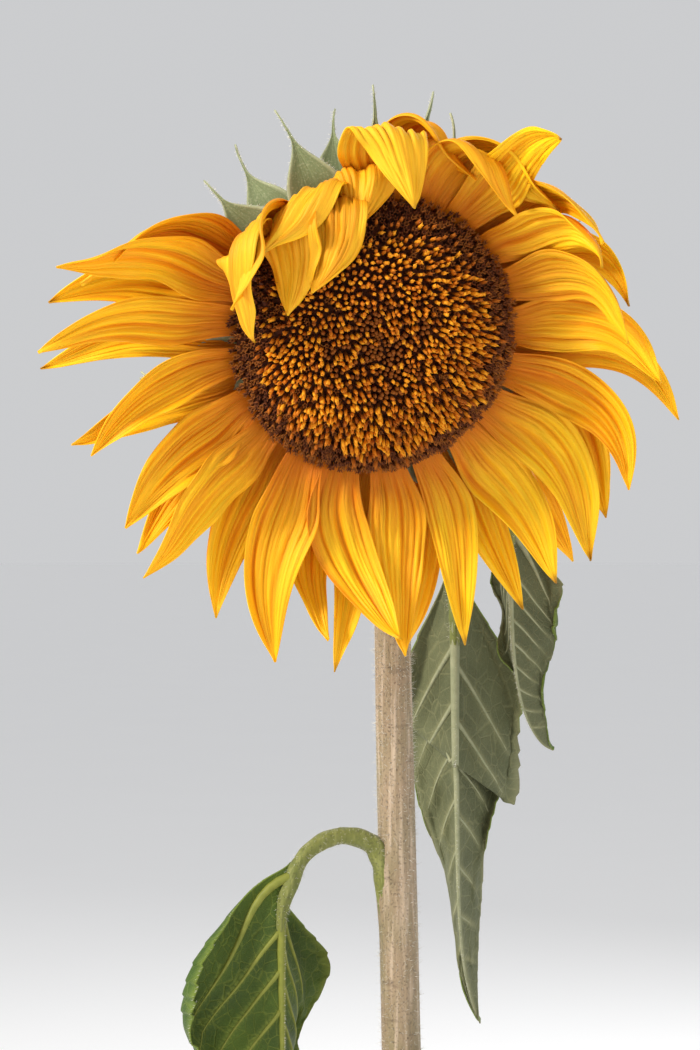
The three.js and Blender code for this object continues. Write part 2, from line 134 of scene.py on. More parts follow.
# Rays by place on the clock face: lift, give, softness, bend, twist, length, sweep, breadth.
RAY_HABIT = [
    (0, 2, 0.62, 0.16, 150, 6, 0.86, 0, 1.4),
    (9, 8, 0.42, 0.22, 128, 10, 0.74, 8, 1.25),
    (18, 8, 0.5, 0.24, 118, 12, 0.78, 8, 1.25),
    (27, 12, 0.52, 0.26, 96, 14, 0.8, 8, 1.15),
    (34, 20, 0.6, 0.3, 26, 10, 0.92, -6, 1.0),
    (43, 28, 0.56, 0.3, 60, 20, 0.84, 8, 1.05),
    (60, 30, 0.6, 0.3, 66, 8, 0.84, 2, 1.0),
    (84, 22, 0.64, 0.26, 72, -6, 0.82, 0, 1.0),
    (106, 12, 0.6, 0.3, 52, -10, 1.1, 0, 1.05),
    (122, 8, 0.5, 0.4, 32, -6, 0.98, 0, 1.05),
    (150, 12, 0.4, 0.4, 24, 0, 0.96, 0, 1.05),
    (180, 14, 0.4, 0.4, 30, 0, 1.0, 0, 1.05),
    (212, 12, 0.4, 0.4, 26, 6, 1.04, 0, 1.05),
    (228, 14, 0.5, 0.4, 22, 12, 0.92, 4, 1.0),
    (240, 14, 0.5, 0.4, 16, 16, 0.88, 8, 1.0),
    (258, 14, 0.52, 0.35, 32, 18, 0.9, 3, 1.0),
    (280, 6, 0.58, 0.35, 26, 4, 0.96, 0, 1.0),
    (297, 8, 0.5, 0.25, 48, -20, 0.96, 0, 1.05),
    (305, 42, 0.4, 0.2, 92, -20, 0.84, -24, 1.45),
    (315, 52, 0.38, 0.2, 90, -12, 0.72, 10, 1.3),
    (324, 58, 0.36, 0.2, 90, -8, 0.58, -4, 1.35),
    (342, 54, 0.36, 0.2, 94, 0, 0.58, -15, 1.3),
    (351, 44, 0.36, 0.24, 112, 4, 0.46, 0, 1.35),
]

LEAF_TRAITS = (
    "height", "bearing", "rise", "droop", "arch", "length", "width", "fold", "furl", "roll", "twist",
    "curl",
)
LEAVES = {
    "upper_right": (632, -97, 62, 98, 29, 126, 60, 54, 10, -58, 14, 75),
    "long_right": (616, -146, 60, 98, 29, 264, 92, 42, 26, -40, 24, 60),
    "left": (452, 68, 60, 66, 27, 206, 114, 36, 0, 58, 22, 0),
    "lower_front_right": (342, -50, 58, 98, 31, 170, 118, 40, 14, 20, 20, 46),
    "lower_back": (272, 172, 56, 98, 32, 150, 106, 44, 10, -30, 30, 40),
    "lower_front_left": (200, 36, 58, 98, 28, 116, 82, 42, 10, -20, -20, 40),
    "lowest_right": (134, -108, 54, 98, 25, 80, 56, 34, 10, 30, 20, 30),
}

# ------------------------------------------------------------------ shared rules


def smooth(x):
    x = min(1, max(0, x))
    return x * x * (3 - 2 * x)


def blend(a, b, t):
    return a + (b - a) * t


def turned(vector, axis, angle):
    return Quaternion(axis, angle) @ vector


def seeded(seed):
    """The solids' own repeatable numbers, each up to an amount above or below 0."""
    state = [seed]
    span = 4294967296

    def vary(amount):
        state[0] = (state[0] * 1664525 + 1013904223) % span
        return (state[0] / span * 2 - 1) * amount

    return vary


def uneven(x, y, z):
    """Smooth noise from about -1 to 1."""
    return noise.noise(Vector((x, y, z)))


def limp_line(form, rows):
    """Stations down the middle of a blade that gives way to its own weight."""
    fall = form.start.cross(DOWN)
    axis = fall.normalized() if fall.length_squared > 1e-6 else form.across.copy()

    def way(s):
        turn = radians(form.bend) * smooth((s - form.give + form.softness) / (2 * form.softness))
        along = turned(form.start, axis, turn)
        across = turned(turned(form.across, axis, turn), along, radians(form.twist) * s)
        return turned(along, across, radians(form.curl) * s**3), across

    point = form.root.copy()
    stations = []
    for i in range(rows + 1):
        s = i / rows
        along, across = way(s)
        if i:
            point = point + way((i - 0.5) / rows)[0] * (form.length / rows)
        stations.append(
            SimpleNamespace(
                point=point, along=along, across=across, face=across.cross(along).normalized()
            )
        )
    return stations


face = Vector(HEAD.face).normalized()
head_centre = Vector(HEAD.centre)
head_up = (UP - face * UP.dot(face)).normalized()
head_right = head_up.cross(face)
# The head's own frame: x to its right, y up its face, z out of it, the rim's middle at 0.
head_frame = Matrix.Translation(head_centre) @ Matrix((head_right, head_up, face)).transposed().to_4x4()


def clock_way(degrees):
    a = radians(degrees)
    return (
        head_up * cos(a) + head_right * sin(a),
        head_up * -sin(a) + head_right * cos(a),
    )


def head_point(radius, degrees, height):
    return head_centre + clock_way(degrees)[0] * radius + face * height


def dome_height(share):
    dome = max(0, 1 - share**2.6) ** 0.62
    return HEAD.disc_height * dome - HEAD.dip * exp(-((share / 0.34) ** 2))


def habit_at(degrees):
    rows = RAY_HABIT + [(RAY_HABIT[0][0] + 360, *RAY_HABIT[0][1:])]
    i = next(k for k in range(len(RAY_HABIT)) if degrees < rows[k + 1][0])
    low, high = rows[i], rows[i + 1]
    t = (degrees - low[0]) / (high[0] - low[0])
    return [blend(a, b, t) for a, b in zip(low[1:], high[1:])]


def head_rooted(sizes, vary, spread, lift_at, lean_spread):
    """Every blade of the head's rings: where it is rooted and the way it starts out."""
    for ring in range(sizes.rings):
        for k in range(sizes.per_ring):
            clock = ((k + ring / 2) * 360 / sizes.per_ring + vary(spread) + 360) % 360
            out, round_way = clock_way(clock)
            lean = radians(lift_at(clock) - ring * sizes.ring_drop + vary(lean_spread))
            yield SimpleNamespace(
                clock=clock,
                root=head_point(sizes.root_radius, clock, -sizes.root_depth - ring * sizes.ring_step),
                start=out * cos(lean) + face * sin(lean),
                across=round_way,
            )


def ray_forms():
    vary, looks = seeded(7), random.Random(11)
    forms = []
    for form in head_rooted(RAYS, vary, 2, lambda clock: habit_at(clock)[0], 5):
        _, give, softness, bend, twist, reach, sweep, breadth = habit_at(form.clock)
        form.length = RAYS.length * reach * (1 + vary(0.07))
        form.width = RAYS.width * breadth * (1 + vary(0.18))
        form.give = give + vary(0.08)
        form.softness = softness
        form.bend = bend * (1 + vary(0.18))
        form.twist = twist + vary(28)
        form.curl = 10 + vary(44)
        form.cup = 0.2 + vary(0.16)
        form.sweep = sweep + vary(11)
        form.crease = looks.uniform(0.1, 0.75)
        form.ruffle = looks.uniform(0.06, 0.2)
        form.waves = looks.uniform(1.6, 3.0)
        form.start_wave = looks.uniform(0, 2 * pi)
        form.tone = looks.random()
        form.seed = looks.uniform(0, 90)
        forms.append(form)
    return forms


def ray_half_width(form, s):
    claw = 0.54 + 0.46 * smooth(s / 0.38)
    point = max(0, 1 - s**2.4) ** 0.92
    return (form.width / 2) * max(claw * point, 0.02)


def bract_forms():
    vary, looks = seeded(23), random.Random(29)
    forms = []
    for form in head_rooted(BRACTS, vary, 4, lambda clock: BRACTS.lift, 7):
        form.length = BRACTS.length * (1 + vary(0.14))
        form.width = BRACTS.width * (1 + vary(0.1))
        form.give, form.softness = 0.6, 0.4
        form.bend = vary(14)
        form.twist = vary(26)
        form.curl = -24 + vary(30)
        form.hook = vary(9)
        form.tone = looks.random()
        form.seed = looks.uniform(0, 90)
        forms.append(form)
    return forms


def bract_half_width(form, s):
    body = (0.6 + 2.0 * s) * (1 - smooth((s - 0.12) / 0.62)) ** 1.1
    tail = 0.17 * (1 - s) ** 0.8
    return (form.width / 2) * max(body + tail, 0.03)


def stem_point(height):
    return Vector((-tan(radians(STEM.lean)) * height, 0, height))


def stem_radius(height):
    taper = blend(STEM.base_radius, STEM.top_radius, height / STEM.height)
    flare = max(0, 1 - height / STEM.flare_height)
    return taper + (STEM.foot_radius - STEM.base_radius) * flare * flare


def bearing_way(degrees):
    a = radians(degrees)
    return Vector((-sin(a), -cos(a), 0))


def stalk_line(leaf, steps):
    turn = radians(leaf.rise + leaf.droop)
    points = [stem_point(leaf.height) + leaf.way * (stem_radius(leaf.height) * 0.55)]
    for i in range(steps):
        a = radians(leaf.rise) - turn * (i + 0.5) / steps
        step = leaf.arch * turn / steps
        points.append(points[-1] + leaf.way * (cos(a) * step) + UP * (sin(a) * step))
    return points


def leaf_forms():
    forms = []
    for i, (name, row) in enumerate(LEAVES.items()):
        leaf = SimpleNamespace(name=name, give=0.07, softness=0.07, seed=7.3 * i)
        vars(leaf).update(zip(LEAF_TRAITS, row))
        leaf.bend = LEAF.hang - leaf.droop
        leaf.size = leaf.length / LEAF.usual_length
        leaf.lap = (30, 9) if name == "long_right" else None
        leaf.way = bearing_way(leaf.bearing)
        coarse = stalk_line(leaf, 9)
        leaf.stalk = stalk_line(leaf, 40)
        leaf.start = (coarse[-1] - coarse[-2]).normalized()
        leaf.root = coarse[-1] + leaf.start * CLEAR
        leaf.across = turned(leaf.way.cross(UP).normalized(), leaf.start, radians(leaf.roll))
        leaf.stations = limp_line(leaf, LEAF.rows)
        forms.append(leaf)
    return forms


def leaf_half_width(leaf, s):
    swell = 0.05 + 0.95 * smooth(s / 0.28 + 0.02)
    taper = 1.36 * max(0, 1 - s) ** 0.86
    return (leaf.width / 2) * max(swell * taper, 0.03)


# ------------------------------------------------------------------ finishes


class Value:
    """A number that varies over a surface; arithmetic on it adds Math nodes."""

    def __init__(self, finish, socket):
        self.finish, self.socket = finish, socket

    def math(self, operation, *others):
        return self.finish.arithmetic(operation, self, *others)

    def __rsub__(self, other):
        return self.finish.arithmetic("SUBTRACT", other, self)

    __add__ = __radd__ = partialmethod(math, "ADD")
    __sub__ = partialmethod(math, "SUBTRACT")
    __mul__ = __rmul__ = partialmethod(math, "MULTIPLY")

    def clipped(self):
        return self.math("MAXIMUM", 0.0).math("MINIMUM", 1.0)

    def rising(self, low, high):
        """0 below low, 1 above high, eased between."""
        node = self.finish.node(
            "ShaderNodeMapRange",
            {"interpolation_type": "SMOOTHSTEP"},
            {"Value": self, "From Min": low, "From Max": high},
        )
        return Value(self.finish, node.outputs["Result"])


class Finish:
    """One material: a Principled shader and what feeds it."""

    def __init__(self, name, **constants):
        self.material = bpy.data.materials.new(name)
        self.material.use_nodes = True
        self.tree = self.material.node_tree
        self.shader = self.tree.nodes["Principled BSDF"]
        self.feed(**constants)

    def put(self, value, target):
        """Links what varies to a socket, or sets it to a number, a vector or a colour's code."""
        source = value.socket if isinstance(value, Value) else value
        if isinstance(source, bpy.types.NodeSocket):
            self.tree.links.new(source, target)
        else:
            target.default_value = linear(source) if isinstance(source, str) else source

    def feed(self, **sockets):
        for name, value in sockets.items():
            self.put(value, self.shader.inputs[name.replace("_", " ")])

    def node(self, kind, settings=None, inputs=None):
        made = self.tree.nodes.new(kind)
        for key, value in (settings or {}).items():
            setattr(made, key, value)
        for key, value in (inputs or {}).items():
            self.put(value, made.inputs[key])
        return made

    def arithmetic(self, operation, *values):
        made = self.node("ShaderNodeMath", {"operation": operation}, dict(enumerate(values)))
        return Value(self, made.outputs[0])

    def place(self):
        return self.node("ShaderNodeTexCoord").outputs["Object"]

    def flat(self):
        return self.node("ShaderNodeUVMap", {"uv_map": "flat"}).outputs["UV"]

    def parts(self, vector):
        made = self.node("ShaderNodeSeparateXYZ", None, {0: vector})
        return [Value(self, out) for out in made.outputs]

    def stretched(self, vector, scale):
        return self.node("ShaderNodeMapping", None, {"Vector": vector, "Scale": scale}).outputs[0]

    def noise(self, vector, scale, detail, stretch=None):
        if stretch:
            vector = self.stretched(vector, stretch)
        inputs = {"Vector": vector, "Scale": scale, "Detail": detail, "Roughness": 0.55}
        return Value(self, self.node("ShaderNodeTexNoise", None, inputs).outputs[0])

    def cell_edges(self, vector, scale, breadth):
        """1 on the borders of a net of cells, 0 inside them."""
        inputs = {"Vector": vector, "Scale": scale}
        made = self.node("ShaderNodeTexVoronoi", {"feature": "DISTANCE_TO_EDGE"}, inputs)
        return 1 - Value(self, made.outputs["Distance"]).rising(0.0, breadth)

    def attribute(self, name):
        made = self.node("ShaderNodeAttribute", {"attribute_name": name})
        return Value(self, made.outputs["Fac"])

    def mix(self, amount, first, second):
        inputs = {0: amount, 6: first, 7: second}
        return self.node("ShaderNodeMix", {"data_type": "RGBA"}, inputs).outputs[2]

    def bump(self, height, distance, strength):
        inputs = {"Height": height, "Distance": distance, "Strength": strength}
        self.feed(Normal=self.node("ShaderNodeBump", None, inputs).outputs["Normal"])


def linear(code):
    """A colour as the shader takes it, from its six-digit hex code."""
    shares = [int(code[i : i + 2], 16) / 255 for i in (0, 2, 4)]
    return [c / 12.92 if c <= 0.04045 else ((c + 0.055) / 1.055) ** 2.4 for c in shares] + [1.0]


def ray_finish(name, pale, body, foot, tip, rough):
    finish = Finish(
        name, Subsurface_Weight=0.1, Subsurface_Scale=0.002, Subsurface_Radius=(1.0, 0.45, 0.05),
        Specular_IOR_Level=0.26,
    )
    flat = finish.flat()
    v = finish.parts(flat)[1]
    streak = finish.noise(flat, 1.0, 3, (26, 1.4, 1))
    streak = (streak - 0.5) * (1 - v.rising(0.5, 0.96) * 0.8) + 0.5
    fine = finish.noise(flat, 1.0, 2, (80, 3, 1))
    fine = (fine - 0.5) * (1 - v.rising(0.25, 0.75)) + 0.5
    cloud = finish.noise(finish.place(), 55, 3)
    tone = finish.attribute("tone")
    # Painted light and shade from the ray's own relief: ridges are painted paler and grooves darker.
    groove = finish.attribute("groove")
    colour = finish.mix((streak * 1.5 - 0.3 + (tone - 0.5) * 0.5 + groove * 0.35).clipped(), body, pale)
    foot_share = (1 - v.rising(0.0, 0.5)) * 0.9 + cloud * 0.3 - 0.16
    colour = finish.mix(foot_share.clipped(), colour, foot)
    # Painted shade in the grooves, laid over a real fine streak pattern that runs towards the foot.
    colour = finish.mix((fine.rising(0.5, 0.72) * 0.34 - groove * 0.5).clipped(), colour, foot)
    worn = v.rising(0.93, 1.0) * (tone * 1.6 - 0.5).clipped()
    colour = finish.mix((worn * 0.8).clipped(), colour, tip)
    finish.feed(Base_Color=colour, Roughness=rough + streak * 0.16)
    finish.bump(streak * 0.7 + fine * 0.6, 0.0011, 0.9)
    return finish.material


def leaf_finish(name, dark, light, rib, rough, fuzz):
    finish = Finish(name, Sheen_Weight=0.05, Specular_IOR_Level=0.32)
    flat = finish.flat()
    vein = finish.attribute("vein")
    edge = finish.attribute("edge")
    net = finish.cell_edges(finish.stretched(flat, (1.0, 0.8, 1)), 34.0, 0.06)
    mesh = finish.cell_edges(flat, 120.0, 0.09)
    blotch = finish.noise(finish.place(), 34, 4)
    grain = finish.noise(finish.place(), 900, 2)
    colour = finish.mix((blotch * 2.2 - 0.6).clipped(), dark, light)
    colour = finish.mix((net * 0.22 + mesh * 0.1 + grain * fuzz).clipped(), colour, rib)
    colour = finish.mix((vein * 0.66 + edge * 0.55).clipped(), colour, rib)
    finish.feed(Base_Color=colour, Roughness=rough + blotch * 0.12)
    finish.bump(net * -0.35 - mesh * 0.2 + grain * 0.2 + blotch * 0.3, 0.0009, 0.8)
    return finish.material


def bract_finish(name, dark, light, edge):
    finish = Finish(name, Sheen_Weight=0.25)
    flat = finish.flat()
    u, v, _ = finish.parts(flat)
    off = (u - 0.5).math("ABSOLUTE") * 2.0
    streak = finish.noise(flat, 1.0, 3, (22, 2.4, 1))
    felt = finish.noise(finish.place(), 1100, 2)
    tone = streak * 1.5 - 0.3 + (finish.attribute("tone") - 0.5) * 0.5
    colour = finish.mix(tone.clipped(), dark, light)
    pale = off.rising(0.72, 1.0) * 0.55 + felt.rising(0.5, 0.75) * 0.4 + v.rising(0.7, 1.0) * 0.25
    colour = finish.mix(pale.clipped(), colour, edge)
    finish.feed(Base_Color=colour, Roughness=0.66 + streak * 0.14)
    finish.bump(streak * 0.6 + felt * 0.3, 0.0006, 0.8)
    return finish.material


def stem_finish(name, tan_skin, green_skin, pale, dark, young=None):
    """Ridged skin: green under a tan bloom, worn in streaks and dotted with old hair pits."""
    finish = Finish(name, Sheen_Weight=0.15)
    place = finish.place()
    streak = finish.noise(place, 420, 3, (1, 1, 0.06))
    patch = finish.noise(place, 46, 4, (1, 1, 0.5))
    pits = finish.noise(place, 980, 2)
    rings = finish.noise(place, 240, 3, (0.25, 0.25, 1))
    colour = finish.mix((patch * 2.6 - 0.9).clipped(), tan_skin, green_skin)
    if young:
        height = finish.parts(place)[2] + patch * 0.04 + streak * 0.03
        colour = finish.mix(height.rising(0.59, 0.68), colour, young)
    colour = finish.mix((streak.rising(0.45, 0.72) * 0.6).clipped(), colour, pale)
    worn = pits.rising(0.58, 0.74) * 0.5 + rings.rising(0.62, 0.72) * 0.3
    colour = finish.mix(worn.clipped(), colour, dark)
    finish.feed(Base_Color=colour, Roughness=0.62 + patch * 0.16)
    finish.bump(streak * 0.8 - pits.rising(0.56, 0.7) * 0.35 + rings * 0.2, 0.0009, 0.9)
    return finish.material


def plain_finish(name, colour, other, rough, scale=420):
    """A small thing's finish: one colour with a faint mottle."""
    finish = Finish(name, Specular_IOR_Level=0.3)
    mottle = finish.noise(finish.place(), scale, 2)
    colour = finish.mix((mottle * 1.8 - 0.4).clipped(), colour, other)
    finish.feed(Base_Color=colour, Roughness=rough + mottle * 0.1)
    finish.bump(mottle, 0.0004, 0.5)
    return finish.material


RAY_FACE = ray_finish("ray_upper_face", "ffce1a", "faaa03", "ce6200", "84480c", 0.46)
RAY_BACK = ray_finish("ray_under_face", "fcc828", "f2a60c", "c86c06", "844c10", 0.52)
LEAF_FACE = leaf_finish("leaf_upper_face", "1e3808", "405e12", "809032", 0.5, 0.06)
LEAF_BACK = leaf_finish("leaf_grey_under_face", "42492e", "626646", "96946a", 0.66, 0.2)
LEAF_BACK_GREEN = leaf_finish("leaf_green_under_face", "263c0a", "485e14", "8a9238", 0.6, 0.06)
RIB = plain_finish("green_rib", "70762c", "888a3a", 0.5, 240)
RIB_GREY = plain_finish("grey_rib", "848868", "9e9e7e", 0.55, 240)
STALK = stem_finish("stalk_skin", "747632", "606a28", "949454", "4a4e1c")
STEM_SKIN = stem_finish("stem_skin", "9e866c", "7c744e", "ceb8a0", "422e1e", "747a4a")
NECK_SKIN = stem_finish("neck_skin", "808056", "64703e", "b2b08e", "46462a")
HEAD_BACK = stem_finish("head_back_skin", "64723a", "4c602a", "8e9666", "36421e")
BRACT_FACE = bract_finish("bract_inner_face", "5c6a3e", "869064", "b8ba96")
BRACT_BACK = bract_finish("bract_outer_face", "64724a", "949c78", "c8c8ac")
HAIR = plain_finish("hair", "ded8c8", "f2f0e6", 0.5)
FLORET_BED = plain_finish("floret_bed", "401a08", "5c2a0d", 0.75)
FLORET_DARK = plain_finish("floret_dark", "602e0e", "824414", 0.7)
FLORET_BROWN = plain_finish("floret_brown", "824613", "a8621c", 0.7)
FLORET_AMBER = plain_finish("floret_amber", "a2540c", "c06c12", 0.65)
FLORET_ORANGE = plain_finish("floret_orange", "cc720c", "e08a14", 0.6)
FLORET_GOLD = plain_finish("floret_gold", "e89210", "f8ae22", 0.6)
FLORET_RED = plain_finish("floret_red", "401107", "60200a", 0.65)

# ------------------------------------------------------------------ making pieces


def piece(name, bm, finishes, slot, *nodes, thickness=0):
    """Stores a mesh, in metres, as one smooth piece that stands for the named solids. A thickness
    gives a blade its two faces, each with its own finish."""
    bmesh.ops.scale(bm, vec=(MM, MM, MM), verts=bm.verts)
    for f in bm.faces:
        f.smooth = True
    mesh = bpy.data.meshes.new(name)
    bm.to_mesh(mesh)
    bm.free()
    made = adopt(name, mesh, finishes, slot, *nodes)
    if thickness:
        shell = made.modifiers.new("two_faces", "SOLIDIFY")
        shell.thickness = thickness * MM
        shell.offset = 0
        shell.material_offset = 1
        shell.material_offset_rim = 0


def adopt(name, mesh, finishes, slot, *nodes):
    for finish in finishes:
        mesh.materials.append(finish)
    made = in_scene(name, mesh)
    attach(made, "root")
    if nodes:
        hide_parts(*nodes)
    return made


def blade_mesh(*values):
    """An empty mesh for blades, with the values that their finish reads."""
    bm = bmesh.new()
    bm.loops.layers.uv.new("flat")
    for name in values:
        bm.verts.layers.float.new(name)
    return bm


def lay_blade(bm, stations, columns, surface, flat, values):
    """Lays a grid over the stations. surface gives the way across, the stand off and the set back
    of a point at s and u; flat gives its place on the blade laid flat, and values what its finish
    reads there."""
    uv_layer = bm.loops.layers.uv["flat"]
    layers = bm.verts.layers.float
    rows = len(stations) - 1
    made = bmesh.ops.create_grid(bm, x_segments=columns, y_segments=rows, size=1.0)["verts"]
    places = {}
    for vert in made:
        u, s = vert.co.x, (vert.co.y + 1) / 2
        vert.co = set_off(stations[round(s * rows)], surface(s, u))
        for name, value in values(s, u).items():
            vert[layers[name]] = value
        places[vert] = flat(s, u)
    for f in {f for vert in made for f in vert.link_faces}:
        for loop in f.loops:
            loop[uv_layer].uv = places[loop.vert]


def set_off(station, offsets):
    side, stand, back = offsets
    return station.point + station.across * side + station.face * stand - station.along * back


def station_at(stations, s):
    """The station at any share of the length."""
    place = min(max(s, 0), 1) * (len(stations) - 1)
    low = min(int(place), len(stations) - 2)
    a, b, t = stations[low], stations[low + 1], place - low
    return SimpleNamespace(
        point=a.point.lerp(b.point, t), along=a.along.lerp(b.along, t),
        across=a.across.lerp(b.across, t), face=a.face.lerp(b.face, t),
    )


def ring_frames(points, radii):
    """A frame for each ring of a limb, kept from spinning along it."""
    across = Vector((1, 0, 0))
    frames = []
    for i, point in enumerate(points):
        along = (points[min(i + 1, len(points) - 1)] - points[max(i - 1, 0)]).normalized()
        across = (across - along * across.dot(along)).normalized()
        turn = Matrix((across, along.cross(across), along)).transposed().to_4x4()
        frames.append(Matrix.Translation(point) @ turn @ Matrix.Scale(radii[i], 4))
    return frames


def drawn_out(bm, edges):
    """Draws a ring of edges out and gives the new ring's corners and edges."""
    made = bmesh.ops.extrude_edge_only(bm, edges=edges)["geom"]
    verts = [g for g in made if isinstance(g, bmesh.types.BMVert)]
    return verts, [g for g in made if isinstance(g, bmesh.types.BMEdge) and g.is_boundary]


def limb(points, radii, sides):
    """A round tapering limb, drawn out ring by ring and closed at both ends."""
    bm = bmesh.new()
    frames = ring_frames(points, radii)
    bmesh.ops.create_circle(bm, segments=sides, radius=1.0)
    bmesh.ops.transform(bm, matrix=frames[0], verts=bm.verts)
    first = edges = list(bm.edges)
    for last, here in zip(frames, frames[1:]):
        verts, edges = drawn_out(bm, edges)
        bmesh.ops.transform(bm, matrix=here @ last.inverted(), verts=verts)
    bmesh.ops.contextual_create(bm, geom=first)
    bmesh.ops.contextual_create(bm, geom=edges)
    bmesh.ops.recalc_face_normals(bm, faces=bm.faces)
    return bm


def absorb(bm, other):
    """Adds another mesh's faces to bm."""
    loose = bpy.data.meshes.new("loose")
    other.to_mesh(loose)
    other.free()
    bm.from_mesh(loose)
    bpy.data.meshes.remove(loose)


def turned_form(profile, steps):
    """A body of revolution in the head's frame from a profile of (radius, height)."""
    bm = bmesh.new()
    verts = [bm.verts.new((0, r, h)) for r, h in profile]
    edges = [bm.edges.new(pair) for pair in zip(verts, verts[1:])]
    bmesh.ops.spin(
        bm, geom=verts + edges, cent=(0, 0, 0), axis=(0, 0, 1), dvec=(0, 0, 0),
        angle=2 * pi, steps=steps, use_merge=True, use_normal_flip=False, use_duplicate=False,
    )
    bmesh.ops.remove_doubles(bm, verts=bm.verts, dist=0.001)
    bmesh.ops.recalc_face_normals(bm, faces=bm.faces)
    return bm


def aimed(place, way, length, width, spin=0.0):
    """The frame of a small thing that stands at a place and points a way."""
    turn = way.to_track_quat("Z", "Y").to_matrix().to_4x4() @ Matrix.Rotation(spin, 4, "Z")
    return Matrix.Translation(place) @ turn @ Matrix.Diagonal((width, width, length, 1))


def scattered(name, seed, frames, finishes, slot):
    """One piece from many copies of a small mesh, joined as arrays."""
    pattern = bpy.data.meshes.new("pattern")
    seed.to_mesh(pattern)
    points = np.array([v.co for v in pattern.vertices]).reshape(-1, 3)
    points = np.hstack([points, np.ones((len(points), 1))])
    placed = np.einsum("nij,vj->nvi", np.array([list(map(list, m)) for m in frames]), points)
    faces = [list(f.vertices) for f in pattern.polygons]
    count = len(points)
    mesh = bpy.data.meshes.new(name)
    mesh.from_pydata(
        (placed[:, :, :3] * MM).reshape(-1, 3).tolist(),
        [],
        [[i + k * count for i in f] for k in range(len(frames)) for f in faces],
    )
    mesh.polygons.foreach_set(
        "material_index", [f.material_index for f in pattern.polygons] * len(frames)
    )
    mesh.polygons.foreach_set("use_smooth", [True] * len(mesh.polygons))
    bpy.data.meshes.remove(pattern)
    mesh.validate()
    mesh.update()
    seed.free()
    adopt(name, mesh, finishes, slot)


def grow_hairs(name, frames, slot):
    seed = bmesh.new()
    bmesh.ops.create_cone(seed, segments=3, radius1=1.0, radius2=0.0, depth=1.0, cap_ends=True)
    bmesh.ops.translate(seed, vec=(0, 0, 0.5), verts=seed.verts)
    scattered(name, seed, frames, [HAIR], slot)


def limb_hairs(looks, points, radii, count, first, sunk, lean, lengths, breadth):
    """Bristles all round a limb from one of its points on, leaning by what lean gives there."""
    frames = ring_frames(points, radii)
    hairs = []
    for _ in range(count):
        i = looks.randrange(first, len(points) - 2)
        a = looks.uniform(0, 2 * pi)
        way = (frames[i].to_3x3() @ Vector((cos(a), sin(a), 0))).normalized()
        at = points[i].lerp(points[i + 1], looks.random()) + way * radii[i] * sunk
        hairs.append(aimed(at, way + lean(i), looks.uniform(*lengths), breadth))
    return hairs


def by_sector(forms, prefix, count):
    """The forms by the clock sector that their solid stands for."""
    sectors = {}
    for form in forms:
        k = floor(((form.clock + 180 / count) % 360) / (360 / count))
        sectors.setdefault(f"{prefix}_{k or count:02d}", []).append(form)
    return sorted(sectors.items())


def whole_breadth(s, u):
    """A blade laid flat so that its finish spans it from margin to margin."""
    return (0.5 + 0.5 * u, s)


# ------------------------------------------------------------------ rays


def ray_relief(form, s, u):
    """The lengthwise grooves of a ray: a few broad ones with sharper ones between them."""
    full = smooth(s / 0.2) * smooth((1 - s) / 0.12)
    broad = uneven(u * 2.6 + form.seed, s * 1.1, form.seed)
    narrow = 1 - 2 * abs(uneven(u * 7.0 + form.seed, s * 1.2, -form.seed)) ** 0.7
    return (1.8 * broad + 1.3 * narrow - 0.5) * full


def ray_surface(form):
    """Grooved lengthwise, creased towards the tip and ruffled along the margins."""

    def surface(s, u):
        half = ray_half_width(form, s)
        cup = form.cup * half * (u * u - 0.4)
        crease = form.crease * half * (sqrt(u * u + 0.03) - 0.17)
        crease *= smooth((s - 0.35) / 0.5) * smooth((1 - s) / 0.2)
        edge = form.ruffle * half * u**4 * sin(2 * pi * form.waves * s + form.start_wave + 1.3 * u)
        lump = 1.3 * uneven(u * 0.9 + form.seed, s * 5, 3.0) * smooth(s / 0.2)
        sway = half * 0.16 * sin(pi * s * 1.4 + form.start_wave)
        across = u * half * (1 - 0.1 * form.crease * s) + sway * smooth(s / 0.3) + form.sweep * s * s
        stand = cup + crease + ray_relief(form, s, u) * half / 11 + edge * smooth(s / 0.25) + lump
        return across, stand, 0.0

    return surface


def make_rays():
    for node, forms in by_sector(ray_forms(), "rays", 12):
        bm = blade_mesh("tone", "groove")
        for form in forms:

            def values(s, u, form=form):
                # tone is each ray's own colour; the relief given with it drives painted shade in the
                # grooves and painted light on the ridges.
                return {"tone": form.tone, "groove": ray_relief(form, s, u) / 2}

            stations = limp_line(form, RAYS.rows)
            lay_blade(bm, stations, RAYS.columns, ray_surface(form), whole_breadth, values)
        piece(f"fine_{node}", bm, [RAY_FACE, RAY_BACK], "ray", node, thickness=RAYS.thickness)


# ------------------------------------------------------------------ bracts


def bract_surface(form):
    def surface(s, u):
        half = bract_half_width(form, s)
        cup = 0.3 * half * u * u
        keel = -0.8 * exp(-((u / 0.14) ** 2)) * (1 - s)
        vein = 0.2 * cos(9 * u) * (1 - s)
        lump = 1.3 * uneven(u + form.seed, s * 4, 3.0) * (1 - s)
        return u * half + form.hook * s**3, cup + keel + vein + lump, 0.0

    return surface


def margin_hairs(looks, stations, surface):
    """The bristles that stand out of both margins of a bract."""
    for _ in range(BRISTLES.bract):
        side = looks.choice((-1, 1))
        s = looks.uniform(0.08, 0.97)
        station = station_at(stations, s)
        way = station.across * side + station.along * looks.uniform(0.1, 0.9)
        way = way + station.face * looks.uniform(-0.7, 0.7)
        yield aimed(set_off(station, surface(s, side)), way, looks.uniform(0.9, 2.2), 0.08)


def make_bracts():
    hairs = []
    looks = random.Random(41)
    for node, forms in by_sector(bract_forms(), "bracts", 6):
        bm = blade_mesh("tone")
        for form in forms:

            def values(s, u, form=form):
                return {"tone": form.tone}

            stations = limp_line(form, BRACTS.rows)
            surface = bract_surface(form)
            lay_blade(bm, stations, BRACTS.columns, surface, whole_breadth, values)
            hairs += margin_hairs(looks, stations, surface)
        finishes = [BRACT_FACE, BRACT_BACK]
        piece(f"fine_{node}", bm, finishes, "bract", node, thickness=BRACTS.thickness)
    grow_hairs("bract_hairs", hairs, "bract")


# ------------------------------------------------------------------ disc and receptacle


